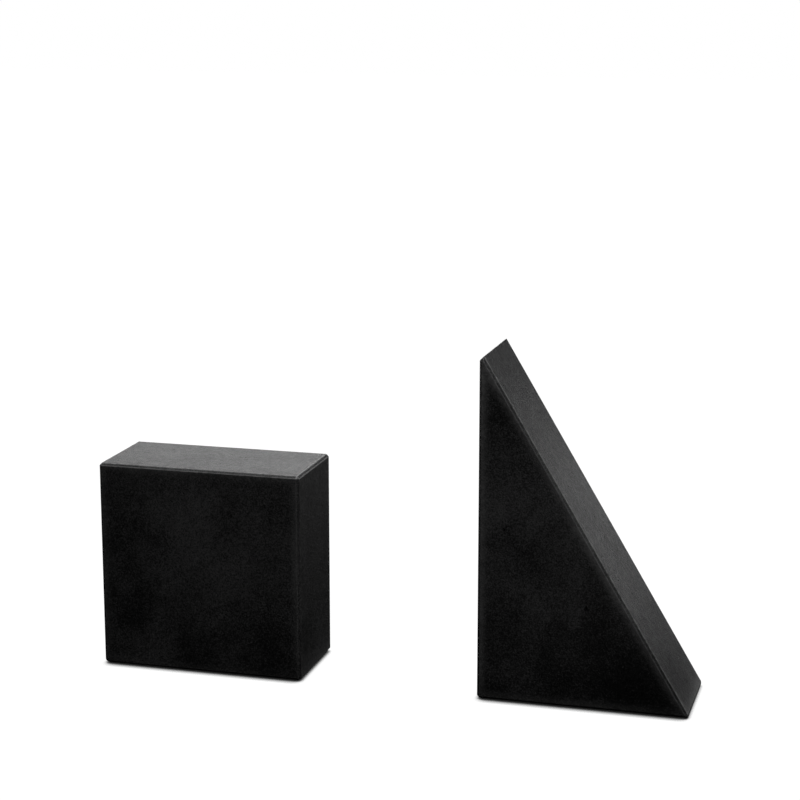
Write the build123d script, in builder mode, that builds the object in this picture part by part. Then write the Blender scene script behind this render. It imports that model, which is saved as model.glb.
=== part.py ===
from build123d import *
import os

# A pair of free-standing cast concrete book ends: a square block and a right-angled wedge.
# Each one is a solid casting on a thin non-slip pad, and the books stand in the gap between.
# Millimetres. X runs along the row of books, Y from front to back, Z up from the shelf.
# The origin is on the shelf, under the middle of the whole pair.

# Both castings
depth = 58.0             # front to back
edge_chamfer = 1.5       # 45 degree edges that the mould leaves
book_gap = 103.0         # between the two faces that hold the books, in the rest position

# Block
block_width = 121.0
block_height = 121.0     # from the shelf, pad included

# Wedge
wedge_length = 118.0     # from its upright face to its toe
wedge_height = 195.0     # from the shelf to its ridge, pad included
ridge_cut = 2.5          # legs of the 45 degree cut along the ridge, on the side of the books
toe_height = 2.5         # from the shelf to the top of the blunt toe, pad included

# Pads
pad_thickness = 0.5
pad_inset = 4.0          # how far a pad stays inside the outline of its casting
pad_corner_radius = 3.0

# Places along the row, which is centred on the origin
row_length = block_width + book_gap + wedge_length
block_centre_x = (block_width - row_length) / 2
wedge_heel_x = row_length / 2 - wedge_length
wedge_toe_x = row_length / 2
wedge_centre_x = (wedge_heel_x + wedge_toe_x) / 2

# The wedge's slope runs from its ridge to its toe, and is carried on to a sharp corner at the base
ridge_x = wedge_heel_x + ridge_cut
heel_top_z = wedge_height - ridge_cut
steepness = (wedge_height - toe_height) / (wedge_toe_x - ridge_x)
sharp_toe_x = wedge_toe_x + (toe_height - pad_thickness) / steepness


# Block casting: a plain slab with every edge chamfered
with BuildPart() as block_body:
    with BuildSketch(Plane.XY.offset(pad_thickness)):
        with Locations((block_centre_x, 0)):
            Rectangle(block_width, depth)
    extrude(amount=block_height - pad_thickness)
    chamfer(block_body.edges(), length=edge_chamfer)

# Wedge casting: a right triangle, upright face towards the books, slope away from them
with BuildPart() as wedge_body:
    with BuildSketch(Plane.XZ):
        with BuildLine():
            Polyline(
                (wedge_heel_x, pad_thickness),
                (sharp_toe_x, pad_thickness),
                (ridge_x, wedge_height),
                (wedge_heel_x, heel_top_z),
                close=True,
            )
        make_face()
    extrude(amount=depth / 2, both=True)

    # The outlines of the front and back faces are chamfered, and so is the heel
    edges_across = wedge_body.edges().filter_by(Axis.Y)
    outline_edges = wedge_body.edges() - edges_across
    heel_edge = edges_across.group_by(Axis.Z)[0].sort_by(Axis.X)[0]
    chamfer(outline_edges + [heel_edge], length=edge_chamfer)

    # The toe is cut blunt, because a casting can't hold a knife edge
    split(bisect_by=Plane.YZ.offset(wedge_toe_x), keep=Keep.BOTTOM)

# Non-slip pads: thin sheets stuck to the undersides, hidden behind the lower chamfers
with BuildPart() as block_base_pad:
    with BuildSketch(Plane.XY):
        with Locations((block_centre_x, 0)):
            RectangleRounded(block_width - 2 * pad_inset, depth - 2 * pad_inset, pad_corner_radius)
    extrude(amount=pad_thickness)

with BuildPart() as wedge_base_pad:
    with BuildSketch(Plane.XY):
        with Locations((wedge_centre_x, 0)):
            RectangleRounded(wedge_length - 2 * pad_inset, depth - 2 * pad_inset, pad_corner_radius)
    extrude(amount=pad_thickness)


os.makedirs("parts", exist_ok=True)

block_body.part.label = "block_body"
export_step(block_body.part, "parts/block_body.step")

block_base_pad.part.label = "block_base_pad"
export_step(block_base_pad.part, "parts/block_base_pad.step")

wedge_body.part.label = "wedge_body"
export_step(wedge_body.part, "parts/wedge_body.step")

wedge_base_pad.part.label = "wedge_base_pad"
export_step(wedge_base_pad.part, "parts/wedge_base_pad.step")
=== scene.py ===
import math
import random

import bmesh
import bpy
from mathutils import Matrix, Vector, noise


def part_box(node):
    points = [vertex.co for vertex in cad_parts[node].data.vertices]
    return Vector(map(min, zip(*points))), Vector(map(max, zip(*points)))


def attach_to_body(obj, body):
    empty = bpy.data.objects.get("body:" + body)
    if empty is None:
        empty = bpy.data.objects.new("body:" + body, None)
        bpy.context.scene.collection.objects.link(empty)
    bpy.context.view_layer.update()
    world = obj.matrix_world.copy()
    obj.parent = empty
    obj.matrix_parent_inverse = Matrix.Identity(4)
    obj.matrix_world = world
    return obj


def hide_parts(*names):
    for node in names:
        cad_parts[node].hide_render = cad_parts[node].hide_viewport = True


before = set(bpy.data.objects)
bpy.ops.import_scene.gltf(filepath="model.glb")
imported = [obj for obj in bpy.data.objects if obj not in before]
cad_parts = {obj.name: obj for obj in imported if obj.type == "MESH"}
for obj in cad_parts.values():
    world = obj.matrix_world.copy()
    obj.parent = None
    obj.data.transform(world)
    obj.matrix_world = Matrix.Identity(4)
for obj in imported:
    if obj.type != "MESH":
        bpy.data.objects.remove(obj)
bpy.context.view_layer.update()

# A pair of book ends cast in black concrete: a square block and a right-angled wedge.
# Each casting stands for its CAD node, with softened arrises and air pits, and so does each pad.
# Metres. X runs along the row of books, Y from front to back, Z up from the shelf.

MM = 0.001

# Meshes
WELD_GAP = 0.001 * MM            # corners closer than this are one corner
FLAT_ANGLE = 1                   # degrees; faces that meet more flatly than this are one side
SMALL_FACE = 0.01 * MM * MM      # faces under this area don't count as sides of a casting
SAME_WAY = 0.99                  # sides whose normals agree more closely than this are one side
LOOKS_UP = 0.3                   # upward part of the normal of a side that counts as looking up
LOOKS_ALONG = 0.1                # most that such a side may look to the front or back
ARRIS_RADIUS = 0.35 * MM         # how far each edge of a casting is softened
ARRIS_STEPS = 3
PAD_RADIUS = 0.12 * MM           # how far the rims of a pad are softened
PAD_STEPS = 3
RIM_ANGLE = 60                   # degrees; a pad's edges that turn by more than this are its rims

# Air pits
PIT_COUNT = 110                  # scattered over each casting
PIT_RADII = (0.22 * MM, 0.5 * MM)
PIT_SINK = 0.35                  # how far a pit's middle lies under the surface, in radii
PIT_RIM = 2.5 * MM               # pits stay this far from the edges and from each other
PIT_WIDTH = (0.55, 1)            # width of a pit, as a share of its length
PIT_DEPTH = (0.6, 0.9)           # depth of a pit, the same way
PIT_ROUGHNESS = 0.35             # how uneven a pit is
PIT_LUMPS = 1.3                  # how many lumps it has along its radius
NOISE_SPREAD = 50                # how far apart the pits look up their lumps

# Pits on the front faces: share of the casting's width, share of its height, radius in mm
BLOCK_PITS = ((0.43, 0.88, 0.65), (0.35, 0.60, 0.6), (0.80, 0.28, 0.7), (0.14, 0.95, 0.5))
WEDGE_PITS = ((0.137, 0.517, 0.8), (0.124, 0.508, 1.0), (0.515, 0.297, 1.7), (0.31, 0.09, 0.6),
              (0.05, 0.54, 0.5), (0.54, 0.41, 0.6))

# Cloudy marks on the front faces: the same two shares, radius in mm, strength
BLOCK_DARK = ((0.10, 0.60, 28, 0.25), (0.12, 0.30, 32, 0.4), (0.86, 0.10, 42, 0.35),
              (0.50, 0.03, 34, 0.3), (0.63, 0.82, 20, 0.2), (0.90, 0.85, 22, 0.15))
BLOCK_PALE = ((0.44, 0.72, 36, 0.3), (0.62, 0.52, 34, 0.25))
WEDGE_DARK = ((0.76, 0.06, 54, 0.75), (0.58, 0.18, 36, 0.45), (0.10, 0.02, 28, 0.45),
              (0.42, 0.05, 38, 0.5), (0.10, 0.83, 28, 0.45), (0.26, 0.46, 28, 0.3), (0.10, 0.20, 38, 0.3))
WEDGE_PALE = ((0.05, 0.57, 32, 0.3), (0.33, 0.26, 20, 0.2), (0.44, 0.47, 28, 0.3), (0.34, 0.60, 24, 0.25))

# How the two castings differ
BLOCK_SEED = 3
BLOCK_RUBBING = 0.4              # strength of the pale haze along the edges
WEDGE_SEED = 8
WEDGE_RUBBING = 1.0
WEDGE_STREAKS = 0.2              # strength of the streaks in the roughness, down the slope

# Concrete textures: size of the lumps, detail, roughness of the noise
TEXTURES = {
    "clouds": (34 * MM, 3, 0.55),
    "patches": (9 * MM, 4, 0.62),
    "mottle": (2.6 * MM, 2, 0.6),
    "grain": (0.8 * MM, 2, 0.8),
}
HANDLED = (55 * MM, 1)           # stretches of edge that are handled more or less
STREAKS = (1.2 * MM, 3, 0.6)     # across the slope
STREAK_SHRINK = 0.03             # width of a streak over its length
DRIFT_SCALE = 60                 # per metre; noise that makes the outlines of the marks uneven
DRIFT_DETAIL = 3
DRIFT_REACH = 0.05

# Concrete tone, from black to its palest grey, and how strongly each texture moves it
TONE = 0.38
TONE_SWINGS = {"clouds": 0.5, "patches": 0.6, "mottle": 0.5, "grain": 3.7}
TONE_RANGE = (-0.3, 1.4)
FOOT_TONE = 0.5                  # how much paler the ends are near the foot
DARKEST = (0.0008, 0.0008, 0.00085, 1)
PALEST = (0.062, 0.062, 0.0626, 1)

# Concrete roughness, the same way
ROUGHNESS = 0.46
ROUGHNESS_SWINGS = {"clouds": -0.06, "patches": -0.10, "mottle": -0.22, "grain": 0.3}
STAIN_POLISH = 0.15              # how much smoother a dark mark is
PIT_DULLNESS = 0.4               # how much rougher a pit is
SPECULAR = 0.4
GRAIN_HEIGHT = 0.25 * MM
MOTTLE_HEIGHT = 0.15 * MM

# Wear, with a painted highlight on the arrises and painted shade in the pits. Each range takes its first
# two values to the last two, or to 0 and 1.
FOOT_RANGE = (0, 22 * MM, 1, 0)              # height above the shelf
FOOT_CLEAN = 0.8                             # how much less the front is rubbed at the foot
FRONT_RANGE = (0.75, 0.98)                   # how squarely a face looks to the front or back
END_RANGE = (0.1, 0.5, 1, 0)
END_REACH = 1.6
HAZE_RANGE = (0, 7.5 * MM, 1, 0)             # distance from the edge
HAZE_FALL = 2.5                              # the power that the haze falls off with
HAZE_MOTTLE = (0.2, 0.7, 0.5, 1)
HAZE_HANDLED = (0.4, 0.6, 0.5, 1)
HAZE_COLOUR = (0.11, 0.11, 0.11, 1)
# The pale arris line is partly wear and partly a painted highlight: it is strongest on upward sides,
# where the light from above catches.
ARRIS_RANGE = (0.1 * MM, 0.7 * MM, 1, 0)     # distance from the edge
ARRIS_MOTTLE = (0.3, 0.6, 0.4, 1)
UPPER_RANGE = (0.2 * MM, 0.7 * MM, 1, 0.1)   # distance from the nearest upward side
UPWARD_RANGE = (0.2, 0.7, 0.1, 1)            # how far a face looks up
ARRIS_SHOWS = 0.8
# colour of the arris line, with its painted highlight
ARRIS_WEAR_AND_HIGHLIGHT_COLOUR = (0.2, 0.2, 0.2, 1)
IN_PIT_RANGE = (0.12 * MM, 0.4 * MM)         # depth under the surface
# The pits get darker with depth: partly dirt, partly painted shade.
PIT_SHADE_AND_DIRT_COLOUR = (0.0006, 0.0006, 0.0006, 1)

# Pad foam
CELL_SIZE = 0.6 * MM
CELL_RANGE = (0, 0.7)
CELL_DEPTH = 0.08 * MM
CELL_STRENGTH = 0.8
FOAM_WEAR_SIZE = 9 * MM
FOAM_WEAR_DETAIL = 3
FOAM_TONE_RANGE = (0.2, 0.8, 0.5, 1)
FOAM_ROUGHNESS_RANGE = (0.2, 0.8, 0.75, 0.9)
FOAM_DARK = (0.008, 0.008, 0.008, 1)
FOAM_PALE = (0.03, 0.03, 0.031, 1)

# Floor
FLOOR_REACH = 6                  # from its middle to its sides
# The floor's shadows are painted: its glow is dimmed close to the pieces.
CLOSE_SHADOW = 3 * MM            # how far the dark line round the foot of a piece reaches
CLOSE_SAMPLES = 8
CLOSE_RANGE = (0.2, 0.9)
BACK_SHADOW = 6.5 * MM           # how far the dark line in front of a piece reaches
BACK_SAMPLES = 12
BACK_RANGE = (0.1, 0.9, 0.1, 1)
BACKWARD = (0, 1, 0.5)
FLOOR_GLOW = 1.04
FLOOR_DARKEST = 0.01

# Fill light of the world
FILL = 0.015                     # its strength straight above
FILL_RANGE = (-0.2, 0.4)         # upward part of its direction, from none to full strength

# Camera
SENSOR_WIDTH = 36                # mm
CAMERA_LENS = 91.86              # mm
CAMERA_AZIMUTH = 15.54           # degrees to the right of straight in front
CAMERA_ELEVATION = 12.17
CAMERA_DISTANCE = 1.1464
CAMERA_AIM = Vector((0.0008, 0.0, 0.1619))


# ---------------------------------------------------------------- meshes

def new_piece(name, bm):
    """Turns a bmesh into an object of the scene."""
    mesh = bpy.data.meshes.new(name)
    bm.to_mesh(mesh)
    bm.free()
    piece = bpy.data.objects.new(name, mesh)
    bpy.context.scene.collection.objects.link(piece)
    return piece


def clean_solid(node):
    """The CAD node's shape with shared corners and one polygon for each flat side."""
    bm = bmesh.new()
    bm.from_mesh(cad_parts[node].data)
    bmesh.ops.remove_doubles(bm, verts=bm.verts, dist=WELD_GAP)
    flat = math.radians(FLAT_ANGLE)
    bmesh.ops.dissolve_limit(bm, angle_limit=flat, verts=bm.verts, edges=bm.edges)
    bmesh.ops.recalc_face_normals(bm, faces=bm.faces)
    return bm


def sides_of(node):
    """(normal, distance from the origin, area) of each flat side of a CAD node."""
    bm = clean_solid(node)
    sides = [(f.normal.copy(), f.normal.dot(f.calc_center_median()), f.calc_area()) for f in bm.faces]
    bm.free()
    return [side for side in sides if side[2] > SMALL_FACE]


def bake_modifiers(piece):
    """Gives a piece the mesh that its modifiers make."""
    graph = bpy.context.evaluated_depsgraph_get()
    made = bpy.data.meshes.new_from_object(piece.evaluated_get(graph), depsgraph=graph)
    piece.modifiers.clear()
    piece.data = made
    piece.data.name = piece.name


sides_of_node = {node: sides_of(node) for node in ("block_body", "wedge_body")}


# ---------------------------------------------------------------- air pits

def on_front(node, mark):
    """A point of a casting's front face from shares of its width and height."""
    low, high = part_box(node)
    across, up = mark[:2]
    return Vector((low[0] + across * (high[0] - low[0]), low[1], low[2] + up * (high[2] - low[2])))


def add_pit(bm, point, normal, radius, rng):
    """An uneven squashed ball half sunk in a face, to be cut out of a casting."""
    turn = Matrix.Rotation(rng.uniform(0, math.tau), 3, "Z")
    flat = Matrix.Diagonal((1, rng.uniform(*PIT_WIDTH), rng.uniform(*PIT_DEPTH)))
    squash = normal.to_track_quat("Z", "Y").to_matrix() @ turn @ flat
    offset = Vector((rng.uniform(0, NOISE_SPREAD), rng.uniform(0, NOISE_SPREAD), 0))
    made = bmesh.ops.create_icosphere(bm, subdivisions=2, radius=radius)
    for vert in made["verts"]:
        lump = 1 + PIT_ROUGHNESS * noise.noise(vert.co / radius * PIT_LUMPS + offset)
        vert.co = point - normal * radius * PIT_SINK + squash @ (vert.co * lump)


def open_place(node, taken, rng):
    """A random place on a side of a casting, away from its edges and from other pits."""
    sides = sides_of_node[node]
    low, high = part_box(node)
    while True:
        normal, distance, _ = rng.choices(sides, weights=[side[2] for side in sides])[0]
        point = Vector([rng.uniform(low[i], high[i]) for i in range(3)])
        point -= normal * (normal.dot(point) - distance)
        rims = [other[1] - other[0].dot(point) for other in sides if other[0].dot(normal) < SAME_WAY]
        gaps = [(point - place).length for place in taken]
        if min(rims) > PIT_RIM and min(gaps, default=1) > PIT_RIM:
            return point, normal


def pit_cutter(node, marks, rng):
    """All the pits of one casting as one object."""
    bm = bmesh.new()
    taken = []
    for mark in marks:
        taken.append(on_front(node, mark))
        add_pit(bm, taken[-1], Vector((0, -1, 0)), mark[2] * MM, rng)
    for _ in range(PIT_COUNT):
        point, normal = open_place(node, taken, rng)
        taken.append(point)
        add_pit(bm, point, normal, rng.uniform(*PIT_RADII), rng)
    return new_piece(node + "_pits", bm)


# ---------------------------------------------------------------- material graphs

class Graph:
    """Adds and joins the nodes of one material."""

    def __init__(self, name):
        self.material = bpy.data.materials.new(name)
        self.material.use_nodes = True
        self.tree = self.material.node_tree
        self.shader = self.tree.nodes["Principled BSDF"]
        surface = self.tree.nodes.new("ShaderNodeTexCoord")
        self.place = surface.outputs["Object"]
        self.normal = surface.outputs["Normal"]

    def feed(self, socket, value):
        """Links a socket to another one, or sets it."""
        if isinstance(value, bpy.types.NodeSocket):
            self.tree.links.new(value, socket)
        else:
            socket.default_value = value

    def add(self, kind, inputs, output=0, **settings):
        """A new node's output socket, with its settings made and its inputs fed."""
        node = self.tree.nodes.new(kind)
        for name, value in settings.items():
            setattr(node, name, value)
        for name, value in inputs.items():
            self.feed(node.inputs[name], value)
        return node.outputs[output]

    def maths(self, operation, a, b=0.0, c=0.0):
        return self.add("ShaderNodeMath", {0: a, 1: b, 2: c}, operation=operation)

    def product(self, *factors):
        """All the factors multiplied together."""
        total = factors[0]
        for factor in factors[1:]:
            total = self.maths("MULTIPLY", total, factor)
        return total

    def vector(self, operation, a, b, output="Vector"):
        return self.add("ShaderNodeVectorMath", {0: a, 1: b}, output, operation=operation)

    def part(self, vector, axis):
        """The X, Y or Z of a vector."""
        return self.add("ShaderNodeSeparateXYZ", {"Vector": vector}, axis)

    def remap(self, value, low, high, to_low=0.0, to_high=1.0):
        """Smoothly takes low..high to to_low..to_high."""
        inputs = {"Value": value, "From Min": low, "From Max": high, "To Min": to_low, "To Max": to_high}
        return self.add("ShaderNodeMapRange", inputs, interpolation_type="SMOOTHSTEP")

    def noise(self, place, size, detail=2.0, roughness=0.5):
        """Noise from 0 to 1 whose lumps are about size metres across."""
        inputs = {"Vector": place, "Scale": 1 / size, "Detail": detail, "Roughness": roughness}
        return self.add("ShaderNodeTexNoise", inputs, "Fac")

    def swing(self, start, textures, strengths):
        """The start value, moved up and down by each texture as strongly as strengths says."""
        total = start
        for name, strength in strengths.items():
            away = self.maths("SUBTRACT", textures[name], 0.5)
            total = self.maths("MULTIPLY_ADD", away, strength, total)
        return total

    def mix(self, share, a, b):
        """Colour a where share is 0 and b where it is 1."""
        return self.add("ShaderNodeMix", {0: share, 6: a, 7: b}, 2, data_type="RGBA")


# ---------------------------------------------------------------- concrete

def side_distances(graph, node):
    """A point's distances from its casting's nearest edge, nearest side and nearest upward side."""
    nearest = 1.0
    second = 1.0
    upper = 1.0
    for normal, distance, _ in sides_of_node[node]:
        reached = graph.vector("DOT_PRODUCT", graph.place, normal, "Value")
        inside = graph.maths("SUBTRACT", distance, reached)
        second = graph.maths("MINIMUM", second, graph.maths("MAXIMUM", nearest, inside))
        nearest = graph.maths("MINIMUM", nearest, inside)
        if normal.z > LOOKS_UP and abs(normal.y) < LOOKS_ALONG:
            upper = graph.maths("MINIMUM", upper, inside)
    # The sides meet their chamfers at 45 degrees, so the edge is further off than the next side.
    edge = graph.maths("MULTIPLY", second, math.sqrt(2))
    return edge, nearest, upper


def uneven_place(graph, moved):
    """The place, shifted a little this way and that."""
    inputs = {"Vector": moved, "Scale": DRIFT_SCALE, "Detail": DRIFT_DETAIL}
    drift = graph.add("ShaderNodeTexNoise", inputs, "Color")
    drift = graph.vector("SUBTRACT", drift, (0.5, 0.5, 0.5))
    drift = graph.vector("MULTIPLY", drift, (DRIFT_REACH, DRIFT_REACH, DRIFT_REACH))
    return graph.vector("ADD", drift, graph.place)


def spots(graph, place, node, marks):
    """How strong the soft spots around the marks are at a point."""
    depth = 0.0
    for mark in marks:
        away = graph.vector("DISTANCE", place, on_front(node, mark), "Value")
        depth = graph.maths("MAXIMUM", depth, graph.remap(away, 0, mark[2] * MM, mark[3], 0))
    return depth


def streaks(graph):
    """Noise that is drawn out down the wedge's slope."""
    normal = max(sides_of_node["wedge_body"], key=lambda side: side[0].x)[0]
    down = Vector((normal.z, 0, -normal.x))
    along = graph.vector("DOT_PRODUCT", graph.place, down, "Value")
    across = graph.vector("DOT_PRODUCT", graph.place, Vector((0, 1, 0)), "Value")
    inputs = {"X": graph.maths("MULTIPLY", along, STREAK_SHRINK), "Y": across, "Z": 0.0}
    return graph.noise(graph.add("ShaderNodeCombineXYZ", inputs), *STREAKS)


def rubbed_faces(graph):
    """How much a point is on the front or back, and how much on an end side near the foot."""
    across = graph.maths("ABSOLUTE", graph.part(graph.normal, "Y"))
    foot = graph.remap(graph.part(graph.place, "Z"), *FOOT_RANGE)
    clean_foot = graph.maths("MULTIPLY_ADD", foot, -FOOT_CLEAN, 1.0)
    front = graph.product(clean_foot, graph.remap(across, *FRONT_RANGE))
    end_foot = graph.product(foot, graph.remap(across, *END_RANGE))
    return front, end_foot


def edge_haze(graph, moved, edge, mottle, reach):
    """A pale band along the edges, stronger where the casting is handled."""
    band = graph.maths("POWER", graph.remap(edge, *HAZE_RANGE), HAZE_FALL)
    handled = graph.remap(graph.noise(moved, *HANDLED), *HAZE_HANDLED)
    return graph.product(band, graph.remap(mottle, *HAZE_MOTTLE), handled, reach)


def worn_and_highlit_arris(graph, edge, upper, mottle):
    """A thin pale line on the arrises, partly wear and partly a painted highlight, strongest on those
    that look up, where the light from above catches.
    """
    line = graph.product(graph.remap(edge, *ARRIS_RANGE), graph.remap(mottle, *ARRIS_MOTTLE))
    upward = graph.remap(graph.part(graph.normal, "Z"), *UPWARD_RANGE)
    return graph.product(line, graph.maths("MAXIMUM", graph.remap(upper, *UPPER_RANGE), upward))


def concrete(name, node, seed, dark, pale, rubbing, streaking):
    """Black pigmented concrete with a dull sealed skin, clouded, rubbed pale near its edges, with a
    painted highlight on its upward arrises and painted shade in its pits.
    """
    graph = Graph(name)
    moved = graph.vector("ADD", graph.place, (seed, seed * 2, seed * 3))
    textures = {key: graph.noise(moved, *values) for key, values in TEXTURES.items()}
    bent = uneven_place(graph, moved)
    stained = spots(graph, bent, node, dark)
    edge, depth, upper = side_distances(graph, node)
    in_pit = graph.remap(depth, *IN_PIT_RANGE)
    front, end_foot = rubbed_faces(graph)
    reach = graph.maths("MULTIPLY_ADD", end_foot, END_REACH, front)
    haze = edge_haze(graph, moved, edge, textures["mottle"], reach)
    arris = worn_and_highlit_arris(graph, edge, upper, textures["mottle"])

    tone = graph.swing(TONE, textures, TONE_SWINGS)
    tone = graph.maths("SUBTRACT", tone, stained)
    tone = graph.maths("ADD", tone, spots(graph, bent, node, pale))
    tone = graph.maths("MULTIPLY_ADD", end_foot, FOOT_TONE, tone)
    colour = graph.mix(graph.remap(tone, *TONE_RANGE), DARKEST, PALEST)
    colour = graph.mix(graph.product(haze, rubbing), colour, HAZE_COLOUR)
    # painted highlight, with wear, along the arrises
    colour = graph.mix(graph.product(arris, ARRIS_SHOWS), colour, ARRIS_WEAR_AND_HIGHLIGHT_COLOUR)
    # painted shade, with dirt, in the pits
    colour = graph.mix(in_pit, colour, PIT_SHADE_AND_DIRT_COLOUR)
    graph.feed(graph.shader.inputs["Base Color"], colour)

    rough = graph.swing(ROUGHNESS, textures, ROUGHNESS_SWINGS)
    if streaking:
        rough = graph.swing(rough, {"streaks": streaks(graph)}, {"streaks": streaking})
    rough = graph.maths("MULTIPLY_ADD", stained, -STAIN_POLISH, rough)
    rough = graph.maths("MULTIPLY_ADD", in_pit, PIT_DULLNESS, rough)
    graph.feed(graph.shader.inputs["Roughness"], rough)
    graph.shader.inputs["Specular IOR Level"].default_value = SPECULAR

    height = graph.product(textures["mottle"], MOTTLE_HEIGHT)
    height = graph.maths("MULTIPLY_ADD", textures["grain"], GRAIN_HEIGHT, height)
    bump = graph.add("ShaderNodeBump", {"Height": height, "Distance": 1.0, "Strength": 1.0})
    graph.feed(graph.shader.inputs["Normal"], bump)
    return graph.material


# ---------------------------------------------------------------- foam

def foam():
    """Closed-cell foam sheet: dull, with fine cells."""
    graph = Graph("pad_foam")
    inputs = {"Vector": graph.place, "Scale": 1 / CELL_SIZE}
    cells = graph.add("ShaderNodeTexVoronoi", inputs, "Distance", feature="F1")
    wear = graph.noise(graph.place, FOAM_WEAR_SIZE, FOAM_WEAR_DETAIL)
    tone = graph.product(graph.remap(cells, *CELL_RANGE), graph.remap(wear, *FOAM_TONE_RANGE))
    graph.feed(graph.shader.inputs["Base Color"], graph.mix(tone, FOAM_DARK, FOAM_PALE))
    graph.feed(graph.shader.inputs["Roughness"], graph.remap(wear, *FOAM_ROUGHNESS_RANGE))
    inputs = {"Height": cells, "Distance": CELL_DEPTH, "Strength": CELL_STRENGTH}
    graph.feed(graph.shader.inputs["Normal"], graph.add("ShaderNodeBump", inputs))
    return graph.material


# ---------------------------------------------------------------- pieces

def cut_pits(casting, node, marks):
    """Cuts the air pits out of a casting."""
    pits = pit_cutter(node, marks, random.Random(casting.name))
    cut = casting.modifiers.new("pits", "BOOLEAN")
    cut.operation = "DIFFERENCE"
    cut.solver = "MANIFOLD"
    cut.object = pits
    bake_modifiers(casting)
    bpy.data.objects.remove(pits)


def weigh_normals(piece):
    """Smooth shading that keeps the flat sides flat."""
    for polygon in piece.data.polygons:
        polygon.use_smooth = True
    piece.modifiers.new("normals", "WEIGHTED_NORMAL")
    bake_modifiers(piece)


def attach(piece, body, node, material):
    """Gives a piece its material, and its place in the frame in the CAD node's stead."""
    piece.data.materials.clear()
    piece.data.materials.append(material)
    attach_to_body(piece, body)
    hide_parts(node)


def make_casting(name, node, body, pits, material):
    """A casting on its CAD shape, with softened arrises and pits."""
    bm = clean_solid(node)
    bmesh.ops.bevel(bm, geom=bm.edges[:], offset=ARRIS_RADIUS, segments=ARRIS_STEPS, profile=0.5,
                    affect="EDGES", clamp_overlap=True)
    casting = new_piece(name, bm)
    cut_pits(casting, node, pits)
    weigh_normals(casting)
    attach(casting, body, node, material)


def make_pad(name, node, body, material):
    """A pad on its CAD shape, with soft rims."""
    bm = clean_solid(node)
    rims = [edge for edge in bm.edges if edge.calc_face_angle(0) > math.radians(RIM_ANGLE)]
    bmesh.ops.bevel(bm, geom=rims, offset=PAD_RADIUS, segments=PAD_STEPS, profile=0.5, affect="EDGES")
    pad = new_piece(name, bm)
    weigh_normals(pad)
    attach(pad, body, node, material)


make_casting("block_casting", "block_body", "block", BLOCK_PITS,
             concrete("block_concrete", "block_body", BLOCK_SEED, BLOCK_DARK, BLOCK_PALE,
                      rubbing=BLOCK_RUBBING, streaking=0))
make_casting("wedge_casting", "wedge_body", "wedge", WEDGE_PITS,
             concrete("wedge_concrete", "wedge_body", WEDGE_SEED, WEDGE_DARK, WEDGE_PALE,
                      rubbing=WEDGE_RUBBING, streaking=WEDGE_STREAKS))
pad_foam = foam()
make_pad("block_pad_sheet", "block_base_pad", "block", pad_foam)
make_pad("wedge_pad_sheet", "wedge_base_pad", "wedge", pad_foam)


# ---------------------------------------------------------------- stage

def make_floor():
    """A glowing white floor, with a painted shadow where a piece stands on it."""
    bm = bmesh.new()
    bmesh.ops.create_grid(bm, x_segments=1, y_segments=1, size=FLOOR_REACH)
    floor = new_piece("floor", bm)
    graph = Graph("floor_white")
    inputs = {"Distance": CLOSE_SHADOW}
    close = graph.add("ShaderNodeAmbientOcclusion", inputs, "AO", samples=CLOSE_SAMPLES)
    backward = graph.vector("NORMALIZE", BACKWARD, (0, 0, 0))
    inputs = {"Distance": BACK_SHADOW, "Normal": backward}
    behind = graph.add("ShaderNodeAmbientOcclusion", inputs, "AO", samples=BACK_SAMPLES)
    # painted shadow: the glow is dimmed where the pieces hide the floor
    glow = graph.product(graph.remap(close, *CLOSE_RANGE), graph.remap(behind, *BACK_RANGE))
    glow = graph.maths("MULTIPLY_ADD", glow, FLOOR_GLOW, FLOOR_DARKEST)
    emission = graph.add("ShaderNodeEmission", {"Strength": glow})
    graph.feed(graph.tree.nodes["Material Output"].inputs["Surface"], emission)
    floor.data.materials.append(graph.material)
    floor.visible_glossy = False
    floor.visible_diffuse = False


def make_light(name, place, aim, size, power):
    """A soft box that the camera doesn't see."""
    data = bpy.data.lights.new(name, "AREA")
    data.shape = "RECTANGLE"
    data.size, data.size_y = size
    data.energy = power
    light = bpy.data.objects.new(name, data)
    bpy.context.scene.collection.objects.link(light)
    light.location = place
    light.rotation_mode = "QUATERNION"
    light.rotation_quaternion = (Vector(aim) - Vector(place)).to_track_quat("-Z", "Y")
    light.visible_camera = False


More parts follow.
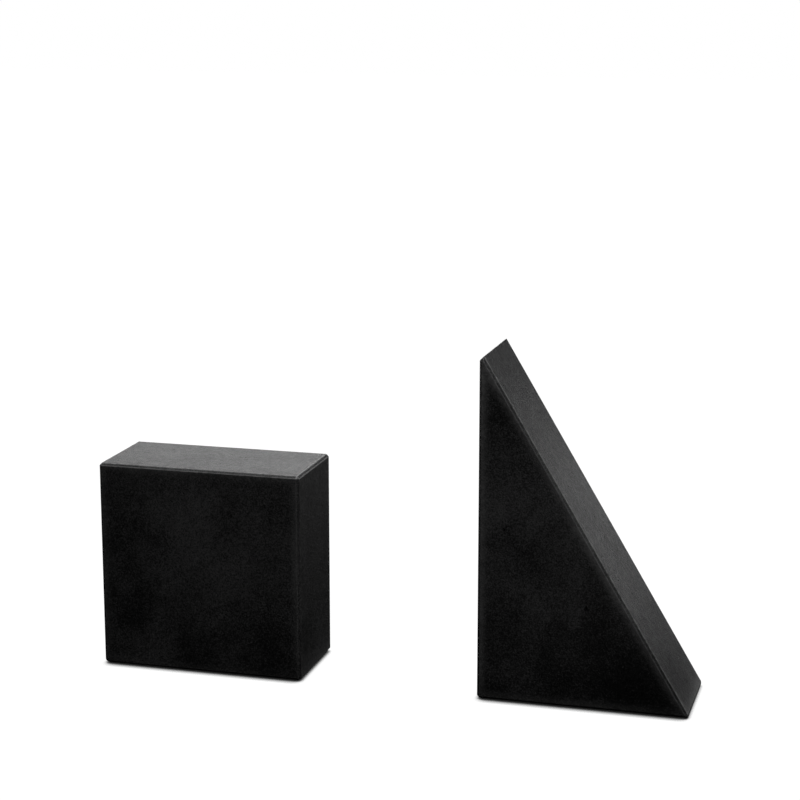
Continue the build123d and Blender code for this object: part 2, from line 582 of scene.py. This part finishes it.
def make_world():
    """White where the camera looks past the floor, and a weak fill from above for everything else."""
    world = bpy.data.worlds.new("studio")
    world.use_nodes = True
    nodes = world.node_tree.nodes
    link = world.node_tree.links.new
    nodes.clear()
    around = nodes.new("ShaderNodeTexCoord")
    split = nodes.new("ShaderNodeSeparateXYZ")
    above = nodes.new("ShaderNodeMapRange")
    above.inputs["From Min"].default_value = FILL_RANGE[0]
    above.inputs["From Max"].default_value = FILL_RANGE[1]
    above.inputs["To Max"].default_value = FILL
    felt = nodes.new("ShaderNodeBackground")
    link(around.outputs["Generated"], split.inputs[0])
    link(split.outputs["Z"], above.inputs["Value"])
    link(above.outputs[0], felt.inputs["Strength"])
    seen = nodes.new("ShaderNodeBackground")
    seen.inputs["Color"].default_value = (1, 1, 1, 1)
    path = nodes.new("ShaderNodeLightPath")
    mix = nodes.new("ShaderNodeMixShader")
    out = nodes.new("ShaderNodeOutputWorld")
    link(path.outputs["Is Camera Ray"], mix.inputs[0])
    link(felt.outputs[0], mix.inputs[1])
    link(seen.outputs[0], mix.inputs[2])
    link(mix.outputs[0], out.inputs[0])
    bpy.context.scene.world = world


def make_camera():
    """The camera, at its distance from the point that it aims at."""
    data = bpy.data.cameras.new("camera")
    data.lens = CAMERA_LENS
    data.sensor_width = SENSOR_WIDTH
    camera = bpy.data.objects.new("camera", data)
    bpy.context.scene.collection.objects.link(camera)
    turn = math.radians(CAMERA_AZIMUTH)
    rise = math.radians(CAMERA_ELEVATION)
    back = Vector((math.sin(turn) * math.cos(rise), -math.cos(turn) * math.cos(rise), math.sin(rise)))
    camera.location = CAMERA_AIM + back * CAMERA_DISTANCE
    camera.rotation_mode = "QUATERNION"
    camera.rotation_quaternion = (-back).to_track_quat("-Z", "Y")
    bpy.context.scene.camera = camera


make_floor()
make_light("overhead", place=(0.1, 0.15, 1.4), aim=(0, 0, 0.1), size=(1.2, 0.8), power=19)
make_light("back_left", place=(-0.6, 1.9, 0.55), aim=(-0.11, 0, 0.12), size=(1.1, 0.5), power=6.05)
make_light("back_right", place=(0.75, 1.8, 0.2), aim=(0.1, 0, 0.1), size=(0.9, 0.35), power=0.5)
make_light("behind_slope", place=(0.32, 0.65, 0.11), aim=(0.11, 0, 0.1), size=(0.25, 0.12), power=0.145)
make_light("side_left", place=(-1.2, 1.2, 0.08), aim=(-0.1, 0, 0.08), size=(0.8, 0.16), power=4)
make_light("front", place=(0.2, -1.8, 0.9), aim=(0, 0, 0.1), size=(0.8, 0.8), power=1)
make_light("front_right", place=(0.9, -1.5, 0.9), aim=(0, 0, 0.1), size=(0.8, 0.8), power=6.8)
make_world()
make_camera()
bpy.context.scene.view_settings.view_transform = "Standard"
